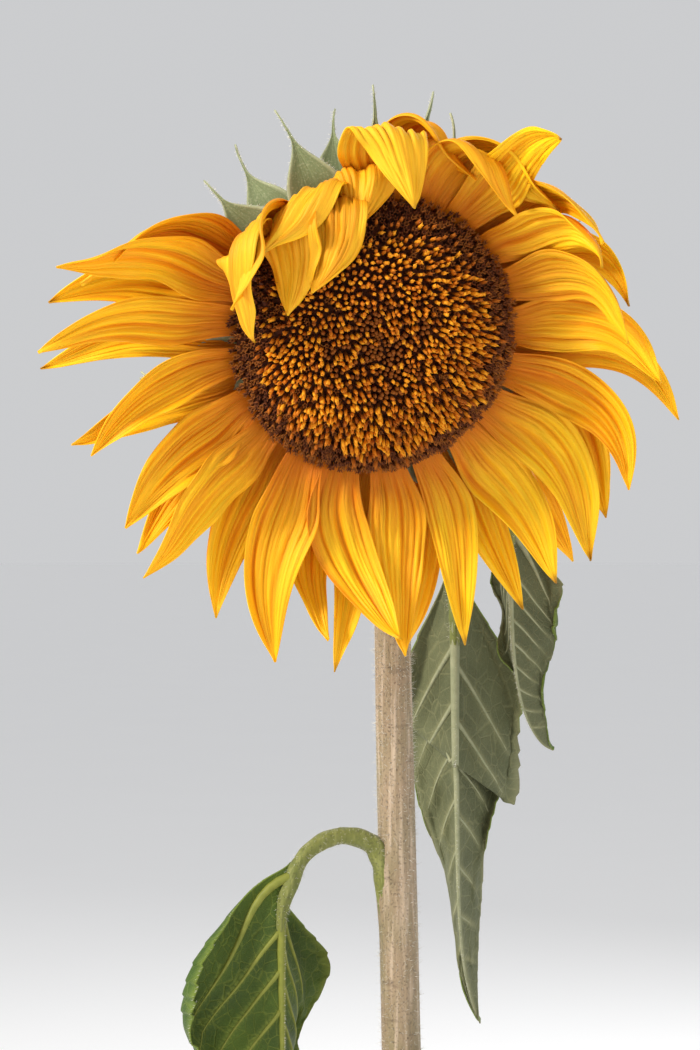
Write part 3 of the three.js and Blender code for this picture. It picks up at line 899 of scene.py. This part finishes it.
def drawn_up(bm, edges, steps):
    """Draws a ring of edges up through steps of (scale, rise)."""
    for scale, rise in steps:
        verts, edges = drawn_out(bm, edges)
        bmesh.ops.scale(bm, vec=(scale, scale, 1), verts=verts)
        bmesh.ops.translate(bm, vec=(0, 0, rise), verts=verts)


def closed(bm):
    """Closes a small form's open ends and points its faces outwards."""
    bmesh.ops.remove_doubles(bm, verts=bm.verts, dist=0.001)
    bmesh.ops.holes_fill(bm, edges=bm.edges, sides=0)
    bmesh.ops.recalc_face_normals(bm, faces=bm.faces)


def bud_seed():
    """A floret still shut: a small bud with a pointed top."""
    bm = bmesh.new()
    bmesh.ops.create_circle(bm, segments=5, radius=0.62)
    drawn_up(bm, list(bm.edges), [(1.4, 0.5), (1.02, 0.2), (0.66, 0.2), (0.0, 0.16)])
    closed(bm)
    for f in bm.faces:
        f.material_index = 1 if f.calc_center_median().z > 0.78 else 0
    return bm


def ragged_mouth(bm):
    """Draws the top ring of a ten-sided tube out into five lobes and gives its edges."""
    top = max(v.co.z for v in bm.verts) - 0.01
    rim = [v for v in bm.verts if v.co.z > top]
    edges = [e for e in bm.edges if e.is_boundary and min(v.co.z for v in e.verts) > top]
    for i, vert in enumerate(sorted(rim, key=lambda v: np.arctan2(v.co.y, v.co.x))):
        reach, rise = (1.42, 0.1) if i % 2 else (0.86, -0.05)
        bmesh.ops.scale(bm, vec=(reach, reach, 1), verts=[vert])
        bmesh.ops.translate(bm, vec=(0, 0, rise), verts=[vert])
    return edges


def star_seed():
    """A spent floret: a tube that opens in a ragged five-lobed mouth round a dark hole."""
    bm = bmesh.new()
    bmesh.ops.create_circle(bm, segments=10, radius=0.6)
    drawn_up(bm, list(bm.edges), [(1.0, 0.7), (1.3, 0.14)])
    drawn_up(bm, ragged_mouth(bm), [(0.62, -0.02), (0.7, -0.34)])
    closed(bm)
    for f in bm.faces:
        middle = f.calc_center_median()
        f.material_index = 1 if middle.z > 0.76 and middle.to_2d().length > 0.42 else 0
    return bm


def ripe_seed():
    """A floret in pollen: a lobed mouth with a grainy golden head and two curled arms above it."""
    bm = bmesh.new()
    bmesh.ops.create_circle(bm, segments=10, radius=0.5)
    drawn_up(bm, list(bm.edges), [(1.0, 0.5), (1.32, 0.12)])
    ragged_mouth(bm)
    closed(bm)
    low = list(bm.faces)
    place = Matrix.Translation((0, 0, 0.82)) @ Matrix.Diagonal((1, 1, 0.5, 1))
    head = bmesh.ops.create_icosphere(bm, subdivisions=1, radius=0.72, matrix=place)["verts"]
    for i, vert in enumerate(head):
        grain = (0.12 * (i % 3 - 1), 0.12 * (i % 2), 0.03 * (i % 3))
        bmesh.ops.translate(bm, vec=grain, verts=[vert])
    for side in (-1, 1):
        place = Matrix.Translation((0.42 * side, 0.1 * side, 1.08))
        bmesh.ops.create_cone(
            bm, segments=3, radius1=0.26, radius2=0.1, depth=0.34, cap_ends=True,
            matrix=place @ Matrix.Rotation(0.9 * side, 4, "Y"),
        )
    for f in set(bm.faces) - set(low):
        f.material_index = 1
    return bm


GOLDEN_ANGLE = radians(137.508)


def floret_kind(share, looks, clump):
    """Shut buds in the middle, pollen further out, and spent florets round the rim."""
    deal = looks.random()
    if share < 0.1:
        return "bud", 4.8, 1.24
    if share < 0.42:
        ripe = deal < 0.3 + 1.6 * (share - 0.1) + 0.5 * clump
        if not ripe:
            return "bud", 6.0, 1.34
        return ("ripe_gold" if deal < 0.3 else "ripe_orange"), 7.9, 1.3
    if share < 0.79:
        if deal < 0.42 + 0.5 * clump:
            return "ripe_gold", 8.3, 1.36
        if deal < 0.76 + 0.4 * clump:
            return "ripe_orange", 7.7, 1.34
        return ("ripe_amber", 7.2, 1.3) if deal < 0.92 else ("star_brown", 7.0, 1.3)
    if share < 0.86 and deal < 0.45:
        return "ripe_amber", 7.6, 1.3
    return ("star_brown" if deal < 0.55 else "star_dark"), 7.4, 1.34


def floret_frames():
    """Every floret's place on the dome, by kind and colour."""
    looks = random.Random(5)
    kinds = {}
    for i in range(FLORETS.count):
        share = sqrt((i + 0.5) / FLORETS.count)
        angle = i * GOLDEN_ANGLE
        slope = (dome_height(share + 0.01) - dome_height(share - 0.01)) / (0.02 * HEAD.disc_radius)
        slope = max(-1.5, min(1.5, slope))
        out = Vector((sin(angle), cos(angle), 0))
        height = dome_height(share) - FLORETS.foot_depth + 8 * max(0, share - 0.9)
        way = (UP - out * slope * 0.8 + out * 0.12 * share).normalized()
        way = way + Vector((looks.gauss(0, 0.12), looks.gauss(0, 0.12), 0))
        place = out * FLORETS.spread * share + UP * height
        clump = uneven(place.x * 0.07, place.y * 0.07, 4.0)
        kind, length, width = floret_kind(share + looks.gauss(0, 0.03), looks, clump)
        length *= looks.uniform(0.86, 1.12)
        width *= looks.uniform(0.86, 1.1)
        frame_here = head_frame @ aimed(place, way, length, width, looks.uniform(0, 2 * pi))
        kinds.setdefault(kind, []).append(frame_here)
    return kinds


def make_disc():
    rings = FLORETS.bed_rings
    bed = [
        (FLORETS.bed_radius * k / rings, dome_height(k / rings) - FLORETS.bed_depth)
        for k in range(rings)
    ]
    bed += [(61.8, 0.5), (59.6, -0.6), (0.0, -0.6)]
    bm = turned_form(bed, 96)
    bmesh.ops.transform(bm, matrix=head_frame, verts=bm.verts)
    piece("floret_bed", bm, [FLORET_BED], "florets", "floret_disc")
    seeds = {"bud": bud_seed, "star": star_seed, "ripe": ripe_seed}
    finishes = {
        "bud": [FLORET_RED, FLORET_BROWN],
        "star_dark": [FLORET_BED, FLORET_DARK],
        "star_brown": [FLORET_DARK, FLORET_BROWN],
        "ripe_amber": [FLORET_BROWN, FLORET_AMBER],
        "ripe_orange": [FLORET_BROWN, FLORET_ORANGE],
        "ripe_gold": [FLORET_BROWN, FLORET_GOLD],
    }
    for kind, frames in sorted(floret_frames().items()):
        seed = seeds[kind.split("_")[0]]()
        scattered(f"florets_{kind}", seed, frames, finishes[kind], "florets")


def make_receptacle():
    rim, depth = HEAD.rim_radius, HEAD.back_depth
    collar = NECK.end_radius + 2
    profile = [
        (0, -depth), (collar, -depth), (rim * 0.3, -depth * 0.93),
        (rim * 0.42, -depth * 0.86), (rim * 0.6, -depth * 0.74), (rim * 0.74, -depth * 0.6),
        (rim * 0.86, -depth * 0.45), (rim * 0.94, -depth * 0.3), (rim * 0.975, -depth * 0.18),
        (rim * 0.985, -depth * 0.08), (rim * 0.97, -1), (0, -1),
    ]
    bm = turned_form(profile, 144)
    for vert in bm.verts:
        reach = vert.co.to_2d().length
        if reach > collar and vert.co.z < -2:
            angle = np.arctan2(vert.co.x, vert.co.y)
            rib = 0.5 * cos(26 * angle) * smooth((reach - collar) / 20)
            lump = 1.1 * noise.noise(vert.co * 0.09)
            vert.co.z += min(0.0, rib + lump) - 0.2
    bmesh.ops.transform(bm, matrix=head_frame, verts=bm.verts)
    piece("head_back", bm, [HEAD_BACK], "receptacle", "receptacle")


# ------------------------------------------------------------------ stem, neck and stalks


def raise_stem(bm, leaves):
    """Raises fine ridges all round the stem, and the swellings under the leaf stalks."""
    ridges, depth = 19, 0.16
    for vert in bm.verts:
        out = vert.co - stem_point(vert.co.z)
        out.z = 0
        if out.length < 1:
            continue
        angle = np.arctan2(out.y, out.x)
        way = out.normalized()
        relief = depth * sin(ridges * angle + 0.6 * sin(vert.co.z * 0.03))
        relief += depth * 1.6 * uneven(way.x * 3, way.y * 3, vert.co.z * 0.018)
        for leaf in leaves:
            side = max(0, way.dot(leaf.way)) ** 7
            below = leaf.height - vert.co.z
            relief += 2.6 * side * (smooth((below + 9) / 12) * (1 - smooth(below / 46)))
        vert.co += way * relief


def make_stem(leaves):
    flare, rest = np.linspace(0, STEM.flare_height, 14), np.linspace(36, STEM.height, 250)
    heights = [*flare, *rest]
    bm = limb([stem_point(h) for h in heights], [stem_radius(h) - 0.3 for h in heights], 72)
    raise_stem(bm, leaves)
    for vert in bm.verts:
        vert.co.z = max(0.0, vert.co.z)
    piece("stem_skin", bm, [STEM_SKIN], "stem", "stem")


def neck_points(steps):
    up = (stem_point(1) - stem_point(0)).normalized()
    a = stem_point(STEM.height)
    d = head_centre - face * HEAD.back_depth
    b = a + up * (NECK.reach_up + CLEAR)
    c = d - face * (NECK.reach_back + CLEAR)
    points = []
    for i in range(steps + 1):
        t = i / steps
        points.append(a * (1 - t) ** 3 + b * 3 * t * (1 - t) ** 2 + c * 3 * t * t * (1 - t) + d * t**3)
    return points


def make_neck():
    steps = 70
    points = neck_points(steps)
    points = [points[0] - UP * 3, *points, points[-1] + face * 2]
    radii = [
        blend(NECK.start_radius, NECK.end_radius, smooth((i / steps - 0.4) / 0.6)) - 0.3
        for i in range(-1, steps + 2)
    ]
    bm = limb(points, radii, 72)
    for vert in bm.verts:
        vert.co += vert.normal * (0.3 * noise.noise(vert.co * 0.12) + 0.1)
    bm.normal_update()
    for vert in bm.verts:
        x, y, z = vert.co
        vert.co += vert.normal * 0.16 * uneven(x * 0.5, y * 0.1, z * 0.1)
    piece("neck_skin", bm, [NECK_SKIN], "stem", "neck")
    return points, radii


def stalk_course(leaf):
    """The stalk's line and radii, with the ridge that runs down the stem below its foot."""
    size = leaf.size ** 0.3
    points, radii = [], []
    for k in range(9):
        t = k / 9
        h = leaf.height - blend(44, -3, t)
        points.append(stem_point(h) + leaf.way * (stem_radius(h) - blend(3.4, 1.6, smooth(t))))
        radii.append(blend(2.2, 4.9, smooth(t)) * size)
    last = len(leaf.stalk) - 1
    for i, point in enumerate(leaf.stalk):
        t = i / last
        if t < 0.13:
            continue
        points.append(point.copy())
        swell = 1 + 0.12 * max(0, 1 - t / 0.25) + 0.2 * max(0, t - 0.9) / 0.1
        radii.append(blend(LEAF.stalk_root, LEAF.stalk_tip, t**0.6) * swell * size - 0.1)
    surface, thick = leaf_surface(leaf), radii[-1]
    for k in range(1, 11):
        s = 0.014 * k
        r = blend(thick, midrib_radius(leaf, s) * 1.04, smooth(k / 9))
        side, stand, back = surface(s, 0)
        points.append(set_off(station_at(leaf.stations, s), (side, stand - r * 0.45, back)))
        radii.append(r)
    radii[-1] *= 0.8
    return points, radii


def eased(points, first, last):
    """The course with the corners between its stretches taken off."""
    for _ in range(2):
        before = [point.copy() for point in points]
        for i in range(first, last):
            points[i] = before[i] * 0.5 + (before[i - 1] + before[i + 1]) * 0.25
    return points


def rounded(points, radii, steps):
    """The course and its radii with more points, along a curve through the given ones."""
    last = len(points) - 1
    fine, sizes = [], []
    for i in range(last):
        a, b, c, d = (points[min(max(i + k, 0), last)] for k in (-1, 0, 1, 2))
        for j in range(steps):
            t = j / steps
            bow = (a * 2 - b * 5 + c * 4 - d) * t**2 + (b * 3 - a - c * 3 + d) * t**3
            fine.append((b * 2 + (c - a) * t + bow) * 0.5)
            sizes.append(blend(radii[i], radii[i + 1], t))
    return fine + [points[-1]], sizes + [radii[-1]]


def make_stalks(leaves):
    hairs = []
    looks = random.Random(61)
    for leaf in leaves:
        points, radii = stalk_course(leaf)
        points = eased(points, 9, len(points) - 4)
        bm = limb(*rounded(points, radii, 3), 28)
        upright = ring_frames(points, radii)[0].to_3x3().inverted()
        bm.normal_update()
        for vert in bm.verts:
            angle = np.arctan2(*(upright @ vert.normal).xy)
            ridge = 0.22 * cos(6 * angle) if vert.normal.length else 0.0
            vert.co += vert.normal * (0.45 * noise.noise(vert.co * 0.16) + ridge)
        piece(f"stalk_skin_{leaf.name}", bm, [STALK], "stalk", f"stalk_{leaf.name}")

        def lean(i, points=points):
            return (points[i + 1] - points[i]).normalized() * looks.uniform(-0.5, 0.7)

        count = BRISTLES.stalk
        hairs += limb_hairs(looks, points, radii, count, 4, 0.94, lean, (0.9, 2.6), 0.085)
    grow_hairs("stalk_hairs", hairs, "stalk")


def make_stem_hairs(neck):
    """Bristles, most on the upper stem, and a shorter felt between them."""
    looks = random.Random(71)
    hairs = []
    for i in range(BRISTLES.stem):
        h = 5 + 645 * (1 - looks.random() ** 1.35)
        a = looks.uniform(0, 2 * pi)
        way = Vector((cos(a), sin(a), 0))
        at = stem_point(h) + way * (stem_radius(h) - 0.4)
        tilt = Vector((looks.gauss(0, 0.3), looks.gauss(0, 0.3), looks.gauss(0.1, 0.5)))
        long = i % 3 == 0
        length = looks.uniform(1.8, 4.2) if long else looks.uniform(0.8, 1.5)
        hairs.append(aimed(at, way + tilt, length, 0.11 if long else 0.08))

    def lean(_):
        return Vector([looks.gauss(0, 0.25) for _ in range(3)])

    hairs += limb_hairs(looks, *neck, BRISTLES.neck, 2, 0.97, lean, (0.9, 3.0), 0.09)
    grow_hairs("stem_hairs", hairs, "stem")


# ------------------------------------------------------------------ leaves


SIDE_VEINS = 9
# Half breadths, as shares of a leaf's length, of its veins and of the hollows they lie in.
VEIN = SimpleNamespace(midrib=0.008, midrib_hollow=0.03, side=0.0055, side_hollow=0.017)


def hump(x, reach):
    return exp(-((x / reach) ** 2))


def side_vein(k, side):
    """A side vein on the blade laid flat: its foot on the midrib and how it leans forward.
    Lengths there are shares of the leaf's own."""
    foot = 0.006 if k == 0 else 0.045 + 0.092 * k + (0.03 if side > 0 else 0)
    lean = 1.25 if k == 0 else 0.95
    return foot, lean


def vein_rise(lean, x):
    """How far forward a side vein has come at x to the side of the midrib."""
    return lean * x + 1.9 * x * x


def vein_nearness(leaf, s, u):
    """1 on a vein, falling away beside it: close to it, and in the wider hollow it lies in."""
    x = abs(u) * leaf_half_width(leaf, s) / leaf.length
    close, wide = hump(x, VEIN.midrib), hump(x, VEIN.midrib_hollow)
    for k in range(SIDE_VEINS):
        foot, lean = side_vein(k, u)
        away = abs(s - foot - vein_rise(lean, x)) / (1 + lean)
        fade = 1 - 0.75 * abs(u) ** 3
        close = max(close, fade * hump(away, VEIN.side))
        wide = max(wide, fade * hump(away, VEIN.side_hollow))
    return close, wide


def lap_at(leaf, s, u):
    """How far a blade that buckles has run ahead of itself, and how far behind it has stepped."""
    if not leaf.lap:
        return 0.0, 0.0
    middle = 0.33 + 0.1 * u
    run, step = leaf.lap
    over = smooth((s - middle) / 0.07)
    ahead = 0.5 * s / middle * (1 - over) - 0.5 * (1 - s) / (1 - middle) * over
    return run * ahead, step * (over - smooth((s - middle - 0.1) / 0.35))


def leaf_surface(leaf):
    """A blade folded along its midrib, puffed up between its veins, toothed and wavy."""
    teeth = max(9, leaf.length / 10)

    def surface(s, u):
        fold = radians(leaf.fold + leaf.furl * smooth((s - 0.35) / 0.35))
        half = leaf_half_width(leaf, s)
        tooth = (s * teeth + 0.8 * uneven(s * 9, leaf.seed, u)) % 1
        inside = smooth(s / 0.2) * smooth((1 - s) / 0.1)
        half *= 1 + abs(u) ** 5 * inside * (0.05 * (tooth - 0.45) + 0.2 * uneven(s * 6, leaf.seed, 9 * u))
        bend = sqrt(u * u + 0.004) - 0.063
        wave = 0.16 * sin(5.5 * pi * s + (0 if u > 0 else 1.7)) * u * u
        close, wide = vein_nearness(leaf, s, u)
        quilt = (1.7 - 1.7 * wide - 0.3 * close) * smooth(abs(u) / 0.08) * inside * leaf.size
        margin = uneven(s * 5, leaf.seed, 2 * u)
        roll = -half * (0.2 + 0.34 * margin) * max(0, abs(u) - 0.66) ** 2 / 0.12
        lump = 5.2 * uneven(u * 1.2 + leaf.seed, s * 3.6, leaf.seed)
        crumple = 1.7 * uneven(u * 3.4, s * 10, leaf.seed + 5)
        stand = half * (bend * sin(fold) + wave) + quilt + roll
        stand += (lump + crumple) * smooth(s / 0.15) * abs(u) ** 0.7 * leaf.size
        ahead, behind = lap_at(leaf, s, u)
        back = LEAF.lobe * leaf.width * u * u * (1 - s) ** 4 - ahead
        return u * half * cos(fold), stand + behind, back

    return surface


def vein_limb(stations, surface, path, radii, sides):
    """A rib that stands out of the under face along a path of (s, u)."""
    points = []
    for (s, u), r in zip(path, radii):
        station = station_at(stations, s)
        side, stand, back = surface(s, u)
        points.append(set_off(station, (side, stand - r * 0.45, back)))
    return limb(points, radii, sides)


def midrib_radius(leaf, s):
    return blend(LEAF.stalk_tip * 0.94, 0.25, min(1, s / 0.97) ** 0.5) * leaf.size ** 0.5


def make_ribs(leaf, surface, finish):
    ribs = bmesh.new()
    stations = leaf.stations
    size = leaf.size ** 0.5
    path = [(0.02 + 0.95 * k / 44, 0.0) for k in range(45)]
    radii = [midrib_radius(leaf, s) for s, _ in path]
    absorb(ribs, vein_limb(stations, surface, path, radii, 12))
    for k in range(SIDE_VEINS):
        for side in (-1, 1):
            foot, lean = side_vein(k, side)
            thick = (2.7 if k == 0 else 1.35 * (1 - k / 12)) * size
            path = []
            for j in range(40):
                x = 0.5 * j / 39
                s = foot + vein_rise(lean, x)
                u = x * leaf.length / leaf_half_width(leaf, min(s, 0.99))
                if s > 0.96 or u > (0.9 if k else 0.86):
                    break
                path.append((s, side * u))
            if len(path) > 4:
                radii = [blend(thick, 0.22, (j / (len(path) - 1)) ** 0.7) for j in range(len(path))]
                absorb(ribs, vein_limb(stations, surface, path, radii, 8))
    piece(f"ribs_{leaf.name}", ribs, [finish], "leaf")


def leaf_bristles(leaf, surface, looks):
    """Bristles out of both margins, then some along the back of the midrib."""
    fold = radians(leaf.fold)
    for _ in range(BRISTLES.leaf_margin):
        s = looks.uniform(0.03, 0.97)
        side = looks.choice((-1, 1))
        station = station_at(leaf.stations, s)
        way = station.across * side * cos(fold) + station.face * sin(fold)
        way = way + station.along * looks.uniform(-0.4, 0.8) + station.face * looks.uniform(-0.6, 0.6)
        yield aimed(set_off(station, surface(s, side)), way, looks.uniform(0.7, 1.9), 0.07)
    for _ in range(BRISTLES.midrib):
        s = looks.uniform(0.0, 0.9)
        station = station_at(leaf.stations, s)
        side, stand, back = surface(s, 0)
        at = set_off(station, (side, stand - LEAF.stalk_tip * (1 - s), back))
        way = station.across * looks.uniform(-1.2, 1.2) - station.face
        way = way + station.along * looks.uniform(-0.9, 0.9)
        yield aimed(at, way, looks.uniform(0.8, 2.0), 0.07)


def make_leaves(leaves):
    hairs, looks = [], random.Random(83)
    for leaf in leaves:
        grey = leaf.name in ("upper_right", "long_right")
        under, rib = (LEAF_BACK, RIB_GREY) if grey else (LEAF_BACK_GREEN, RIB)
        surface = leaf_surface(leaf)

        def flat(s, u, leaf=leaf):
            return (0.5 + u * leaf_half_width(leaf, s) / leaf.length, s)

        def values(s, u, leaf=leaf):
            edge = smooth((abs(u) - 0.93) / 0.07)
            return {"vein": vein_nearness(leaf, s, u)[0] ** 2, "edge": edge}

        bm = blade_mesh("vein", "edge")
        lay_blade(bm, leaf.stations, LEAF.columns, surface, flat, values)
        name, node = f"blade_{leaf.name}", f"leaf_{leaf.name}"
        piece(name, bm, [LEAF_FACE, under], "leaf", node, thickness=LEAF.thickness)
        make_ribs(leaf, surface, rib)
        hairs += leaf_bristles(leaf, surface, looks)
    grow_hairs("leaf_hairs", hairs, "leaf")


# ------------------------------------------------------------------ the plant

leaves = leaf_forms()
make_rays()
make_bracts()
make_disc()
make_receptacle()
make_stem(leaves)
make_stem_hairs(make_neck())
make_stalks(leaves)
make_leaves(leaves)

# ------------------------------------------------------------------ floor and light


def make_floor():
    finish = Finish("pale_floor", Roughness=0.85)
    cloud = finish.noise(finish.place(), 3, 2)
    finish.feed(Base_Color=finish.mix(cloud, (0.975, 0.975, 0.975, 1), (0.99, 0.99, 0.99, 1)))
    bm = bmesh.new()
    bmesh.ops.create_circle(bm, segments=96, radius=40, cap_ends=True)
    bmesh.ops.translate(bm, vec=(0, 0, -0.0004), verts=bm.verts)
    mesh = bpy.data.meshes.new("floor")
    bm.to_mesh(mesh)
    bm.free()
    mesh.materials.append(finish.material)
    floor_piece = in_scene("floor", mesh)


def add_light(name, place, target, size, power, colour=(1, 1, 1)):
    lamp = bpy.data.lights.new(name, "AREA")
    lamp.shape = "DISK"
    lamp.size, lamp.energy, lamp.color = size, power, colour
    made = in_scene(name, lamp)
    made.location = place
    made.rotation_euler = (Vector(target) - Vector(place)).to_track_quat("-Z", "Y").to_euler()


make_floor()
add_light("key_light", (-1.5, -1.0, 1.6), (0, -0.08, 0.6), 0.55, 46, (1.0, 0.95, 0.87))
add_light("fill_light", (1.6, -1.3, 0.7), (0, -0.05, 0.55), 1.6, 8)
add_light("back_light", (0.8, 1.5, 1.6), (0, 0, 0.6), 1.2, 18)
world = bpy.data.worlds.new("studio")
world.use_nodes = True
sky = world.node_tree.nodes["Background"]
sky.inputs["Color"].default_value = (0.97, 0.98, 1.0, 1)
sky.inputs["Strength"].default_value = 0.62
bpy.context.scene.world = world
